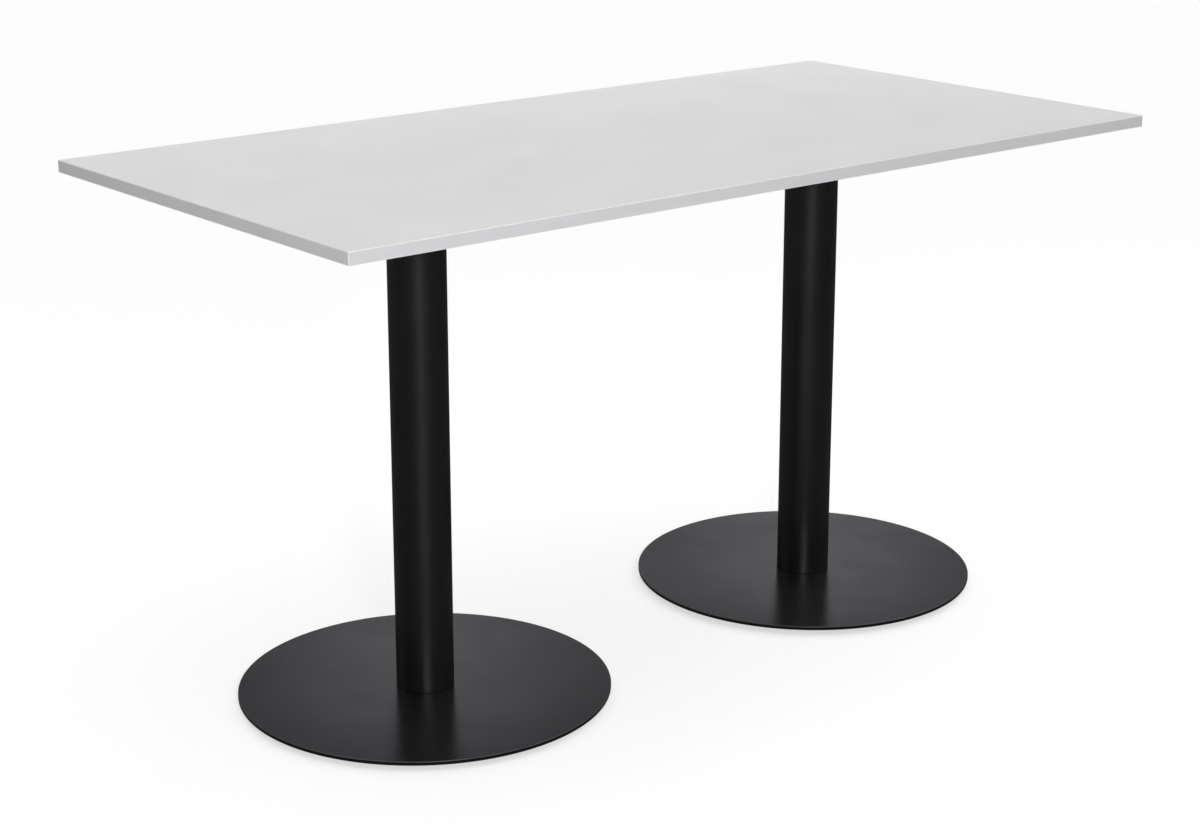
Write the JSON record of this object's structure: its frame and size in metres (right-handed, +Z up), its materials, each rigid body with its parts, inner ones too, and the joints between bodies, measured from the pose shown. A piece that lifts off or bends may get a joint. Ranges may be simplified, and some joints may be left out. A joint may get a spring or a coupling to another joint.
{
  "type": "standing meeting table",
  "caption": "Standing-height meeting table: rectangular white laminate top with edged sides on round black columns, each on a flat round disc base with levelling glides.",
  "frame": {"origin": "on the floor, under the middle of the table top", "axes": "+X along the table's length from the left to the right pedestal, +Y across the table away from the picture's viewer, +Z up"},
  "size_m": [2, 1, 1.06],
  "materials": {
    "white_laminate": "fine matt laminate",
    "white_edging": "smooth satin plastic edging",
    "chipboard": "raw board",
    "black_steel": "fine satin powder coat",
    "zinc_steel": "bright zinc plated",
    "black_nylon": "moulded matt"
  },
  "bodies": {
    "table": {"top_core": "chipboard", "top_laminate": "white_laminate", "underside_laminate": "white_laminate", "edge_band_front": "white_edging", "edge_band_back": "white_edging", "edge_band_left": "white_edging", "edge_band_right": "white_edging", "left_base_disc": "black_steel", "left_column": "black_steel", "left_foot_plate": "black_steel", "left_head_plate": "black_steel", "left_base_bolt_1": "zinc_steel", "left_base_bolt_2": "zinc_steel", "left_base_bolt_3": "zinc_steel", "left_base_bolt_4": "zinc_steel", "left_top_screw_1": "zinc_steel", "left_top_screw_2": "zinc_steel", "left_top_screw_3": "zinc_steel", "left_top_screw_4": "zinc_steel", "left_glide_nut_1": "zinc_steel", "left_glide_nut_2": "zinc_steel", "left_glide_nut_3": "zinc_steel", "left_glide_nut_4": "zinc_steel", "right_base_disc": "black_steel", "right_column": "black_steel", "right_foot_plate": "black_steel", "right_head_plate": "black_steel", "right_base_bolt_1": "zinc_steel", "right_base_bolt_2": "zinc_steel", "right_base_bolt_3": "zinc_steel", "right_base_bolt_4": "zinc_steel", "right_top_screw_1": "zinc_steel", "right_top_screw_2": "zinc_steel", "right_top_screw_3": "zinc_steel", "right_top_screw_4": "zinc_steel", "right_glide_nut_1": "zinc_steel", "right_glide_nut_2": "zinc_steel", "right_glide_nut_3": "zinc_steel", "right_glide_nut_4": "zinc_steel"},
    "left_glide_pad_1": {"left_glide_pad_1": "black_nylon"},
    "left_glide_stud_1": {"left_glide_stud_1": "zinc_steel"},
    "left_glide_pad_2": {"left_glide_pad_2": "black_nylon"},
    "left_glide_stud_2": {"left_glide_stud_2": "zinc_steel"},
    "left_glide_pad_3": {"left_glide_pad_3": "black_nylon"},
    "left_glide_stud_3": {"left_glide_stud_3": "zinc_steel"},
    "left_glide_pad_4": {"left_glide_pad_4": "black_nylon"},
    "left_glide_stud_4": {"left_glide_stud_4": "zinc_steel"},
    "right_glide_pad_1": {"right_glide_pad_1": "black_nylon"},
    "right_glide_stud_1": {"right_glide_stud_1": "zinc_steel"},
    "right_glide_pad_2": {"right_glide_pad_2": "black_nylon"},
    "right_glide_stud_2": {"right_glide_stud_2": "zinc_steel"},
    "right_glide_pad_3": {"right_glide_pad_3": "black_nylon"},
    "right_glide_stud_3": {"right_glide_stud_3": "zinc_steel"},
    "right_glide_pad_4": {"right_glide_pad_4": "black_nylon"},
    "right_glide_stud_4": {"right_glide_stud_4": "zinc_steel"}
  },
  "joints": [
    {"name": "left_glide_1_height", "type": "slide", "parent": "table", "child": "left_glide_pad_1", "axis": [0, 0, -1], "range_m": [0, 0.006]},
    {"name": "left_glide_1_turn", "type": "hinge", "parent": "left_glide_pad_1", "child": "left_glide_stud_1", "pos_m": [-0.31494, 0.20506, 0.01], "axis": [0, 0, -1], "range_deg": [0, 1728]},
    {"name": "left_glide_2_height", "type": "slide", "parent": "table", "child": "left_glide_pad_2", "axis": [0, 0, -1], "range_m": [0, 0.006]},
    {"name": "left_glide_2_turn", "type": "hinge", "parent": "left_glide_pad_2", "child": "left_glide_stud_2", "pos_m": [-0.72506, 0.20506, 0.01], "axis": [0, 0, -1], "range_deg": [0, 1728]},
    {"name": "left_glide_3_height", "type": "slide", "parent": "table", "child": "left_glide_pad_3", "axis": [0, 0, -1], "range_m": [0, 0.006]},
    {"name": "left_glide_3_turn", "type": "hinge", "parent": "left_glide_pad_3", "child": "left_glide_stud_3", "pos_m": [-0.72506, -0.20506, 0.01], "axis": [0, 0, -1], "range_deg": [0, 1728]},
    {"name": "left_glide_4_height", "type": "slide", "parent": "table", "child": "left_glide_pad_4", "axis": [0, 0, -1], "range_m": [0, 0.006]},
    {"name": "left_glide_4_turn", "type": "hinge", "parent": "left_glide_pad_4", "child": "left_glide_stud_4", "pos_m": [-0.31494, -0.20506, 0.01], "axis": [0, 0, -1], "range_deg": [0, 1728]},
    {"name": "right_glide_1_height", "type": "slide", "parent": "table", "child": "right_glide_pad_1", "axis": [0, 0, -1], "range_m": [0, 0.006]},
    {"name": "right_glide_1_turn", "type": "hinge", "parent": "right_glide_pad_1", "child": "right_glide_stud_1", "pos_m": [0.72506, 0.20506, 0.01], "axis": [0, 0, -1], "range_deg": [0, 1728]},
    {"name": "right_glide_2_height", "type": "slide", "parent": "table", "child": "right_glide_pad_2", "axis": [0, 0, -1], "range_m": [0, 0.006]},
    {"name": "right_glide_2_turn", "type": "hinge", "parent": "right_glide_pad_2", "child": "right_glide_stud_2", "pos_m": [0.31494, 0.20506, 0.01], "axis": [0, 0, -1], "range_deg": [0, 1728]},
    {"name": "right_glide_3_height", "type": "slide", "parent": "table", "child": "right_glide_pad_3", "axis": [0, 0, -1], "range_m": [0, 0.006]},
    {"name": "right_glide_3_turn", "type": "hinge", "parent": "right_glide_pad_3", "child": "right_glide_stud_3", "pos_m": [0.31494, -0.20506, 0.01], "axis": [0, 0, -1], "range_deg": [0, 1728]},
    {"name": "right_glide_4_height", "type": "slide", "parent": "table", "child": "right_glide_pad_4", "axis": [0, 0, -1], "range_m": [0, 0.006]},
    {"name": "right_glide_4_turn", "type": "hinge", "parent": "right_glide_pad_4", "child": "right_glide_stud_4", "pos_m": [0.72506, -0.20506, 0.01], "axis": [0, 0, -1], "range_deg": [0, 1728]}
  ],
  "couplings": [
    {"joint": "left_glide_1_turn", "follows": "left_glide_1_height", "rad_per_m": 5026.5},
    {"joint": "left_glide_2_turn", "follows": "left_glide_2_height", "rad_per_m": 5026.5},
    {"joint": "left_glide_3_turn", "follows": "left_glide_3_height", "rad_per_m": 5026.5},
    {"joint": "left_glide_4_turn", "follows": "left_glide_4_height", "rad_per_m": 5026.5},
    {"joint": "right_glide_1_turn", "follows": "right_glide_1_height", "rad_per_m": 5026.5},
    {"joint": "right_glide_2_turn", "follows": "right_glide_2_height", "rad_per_m": 5026.5},
    {"joint": "right_glide_3_turn", "follows": "right_glide_3_height", "rad_per_m": 5026.5},
    {"joint": "right_glide_4_turn", "follows": "right_glide_4_height", "rad_per_m": 5026.5}
  ]
}
